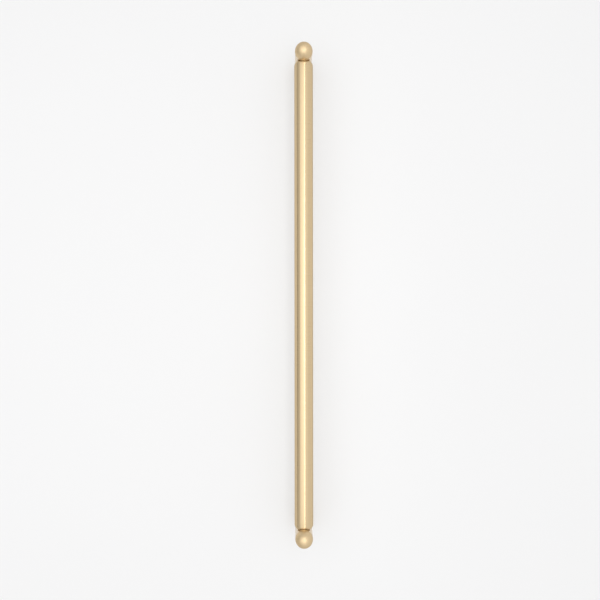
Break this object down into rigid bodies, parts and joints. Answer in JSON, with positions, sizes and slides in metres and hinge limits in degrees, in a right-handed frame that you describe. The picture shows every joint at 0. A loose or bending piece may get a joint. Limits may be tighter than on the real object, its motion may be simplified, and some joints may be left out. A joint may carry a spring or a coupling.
{
  "type": "cabinet bar pull",
  "caption": "Slim satin brass cabinet pull: a smooth round bar set between dome-ended posts that stand it off the door and take screws from behind.",
  "frame": {"origin": "on the door face, midway between the two screw holes", "axes": "+Z out of the door towards the hand, +Y along the bar from the lower post to the upper one, +X to the right as seen from the front"},
  "size_m": [0.0124, 0.3316, 0.04],
  "materials": {
    "satin_brass": "satin, finely turned",
    "stud_steel": "plain zinc-plated steel"
  },
  "bodies": {
    "root": {"grip_bar": "satin_brass", "upper_post": "satin_brass", "lower_post": "satin_brass", "joining_studs": "stud_steel"}
  },
  "joints": []
}
